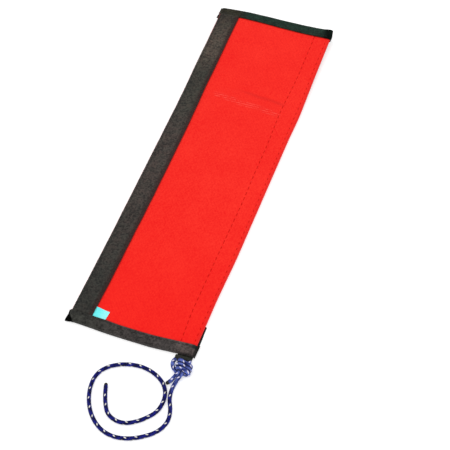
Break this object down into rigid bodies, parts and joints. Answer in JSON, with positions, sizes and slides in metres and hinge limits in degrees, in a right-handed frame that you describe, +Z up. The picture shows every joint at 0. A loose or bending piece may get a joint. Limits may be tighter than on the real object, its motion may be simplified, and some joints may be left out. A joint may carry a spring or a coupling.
{
  "type": "rope protector sleeve",
  "caption": "Flat rope protector sleeve of red lay-flat hose with black taped ends, hook and loop edges that close it round a rope, a bare label and a knotted blue tie cord.",
  "frame": {"origin": "centre of the flat sleeve on the surface that it lies on; the cord, its knot and the cord tab are left out of the box that this is measured on", "axes": "+Z up out of the face with the loop strip, +Y along the sleeve away from the cord, +X across it from the loop edge to the hook edge"},
  "size_m": [0.1507, 0.6152, 0.0106],
  "materials": {
    "hose_red": "saturated red rubber cover over woven yarn, matte, fine weave grain",
    "tape_black": "black brushed binding tape, matte",
    "loop_black": "black fuzzy loop pile",
    "hook_black": "black nylon hooks on a woven tape",
    "thread_black": "black polyester thread",
    "thread_red": "dark red sewing thread sunk in the hose",
    "label_cyan": "smooth woven label, bare",
    "tab_webbing": "black webbing, dull",
    "cord_blue": "blue braided cord with pale tracer flecks",
    "cord_tip": "heat-sealed black cord end"
  },
  "bodies": {
    "loop_edge": {"hose_fold_loop_side": "hose_red", "end_tape_near_1": "tape_black", "tape_seam_near_1": "thread_black", "end_tape_far_1": "tape_black", "tape_seam_far_1": "thread_black", "loop_strip": "loop_black", "loop_seam_outer": "thread_black", "loop_seam_inner": "thread_black", "label": "label_cyan"},
    "wrap_1": {"hose_face_wall_1": "hose_red", "hose_back_wall_1": "hose_red", "end_tape_near_2": "tape_black", "tape_seam_near_2": "thread_black", "end_tape_far_2": "tape_black", "tape_seam_far_2": "thread_black"},
    "wrap_2": {"hose_face_wall_2": "hose_red", "hose_back_wall_2": "hose_red", "end_tape_near_3": "tape_black", "tape_seam_near_3": "thread_black", "end_tape_far_3": "tape_black", "tape_seam_far_3": "thread_black"},
    "wrap_3": {"hose_face_wall_3": "hose_red", "hose_back_wall_3": "hose_red", "end_tape_near_4": "tape_black", "tape_seam_near_4": "thread_black", "end_tape_far_4": "tape_black", "tape_seam_far_4": "thread_black"},
    "wrap_4": {"hose_face_wall_4": "hose_red", "hose_back_wall_4": "hose_red", "end_tape_near_5": "tape_black", "tape_seam_near_5": "thread_black", "end_tape_far_5": "tape_black", "tape_seam_far_5": "thread_black"},
    "wrap_5": {"hose_face_wall_5": "hose_red", "hose_back_wall_5": "hose_red", "end_tape_near_6": "tape_black", "tape_seam_near_6": "thread_black", "end_tape_far_6": "tape_black", "tape_seam_far_6": "thread_black"},
    "hook_edge": {"hose_fold_hook_side": "hose_red", "end_tape_near_7": "tape_black", "tape_seam_near_7": "thread_black", "end_tape_far_7": "tape_black", "tape_seam_far_7": "thread_black", "hook_strip": "hook_black", "hook_seam_inner": "thread_red", "hook_seam_outer": "thread_red", "cord_tab": "tab_webbing", "cord_eye": "cord_blue", "cord_knot": "cord_blue", "cord_tail": "cord_blue", "cord_tail_tip": "cord_tip", "cord": "cord_blue", "cord_end_tip": "cord_tip"}
  },
  "joints": [
    {"name": "fold_1", "type": "hinge", "parent": "loop_edge", "child": "wrap_1", "pos_m": [-0.0311, 0, 0.0078], "axis": [0, -1, 0], "range_deg": [0, 70]},
    {"name": "fold_2", "type": "hinge", "parent": "wrap_1", "child": "wrap_2", "pos_m": [-0.0173, 0, 0.0078], "axis": [0, -1, 0], "range_deg": [0, 56]},
    {"name": "fold_3", "type": "hinge", "parent": "wrap_2", "child": "wrap_3", "pos_m": [-0.0003, 0, 0.0078], "axis": [0, -1, 0], "range_deg": [0, 42]},
    {"name": "fold_4", "type": "hinge", "parent": "wrap_3", "child": "wrap_4", "pos_m": [0.0185, 0, 0.0078], "axis": [0, -1, 0], "range_deg": [0, 42]},
    {"name": "fold_5", "type": "hinge", "parent": "wrap_4", "child": "wrap_5", "pos_m": [0.0375, 0, 0.0078], "axis": [0, -1, 0], "range_deg": [0, 70]},
    {"name": "fold_6", "type": "hinge", "parent": "wrap_5", "child": "hook_edge", "pos_m": [0.0504, 0, 0.0078], "axis": [0, -1, 0], "range_deg": [0, 80]}
  ],
  "couplings": [
    {"joint": "fold_1", "follows": "fold_5", "ratio": 1},
    {"joint": "fold_2", "follows": "fold_5", "ratio": 0.8},
    {"joint": "fold_3", "follows": "fold_5", "ratio": 0.6},
    {"joint": "fold_4", "follows": "fold_5", "ratio": 0.6},
    {"joint": "fold_6", "follows": "fold_5", "ratio": 1.1429}
  ]
}
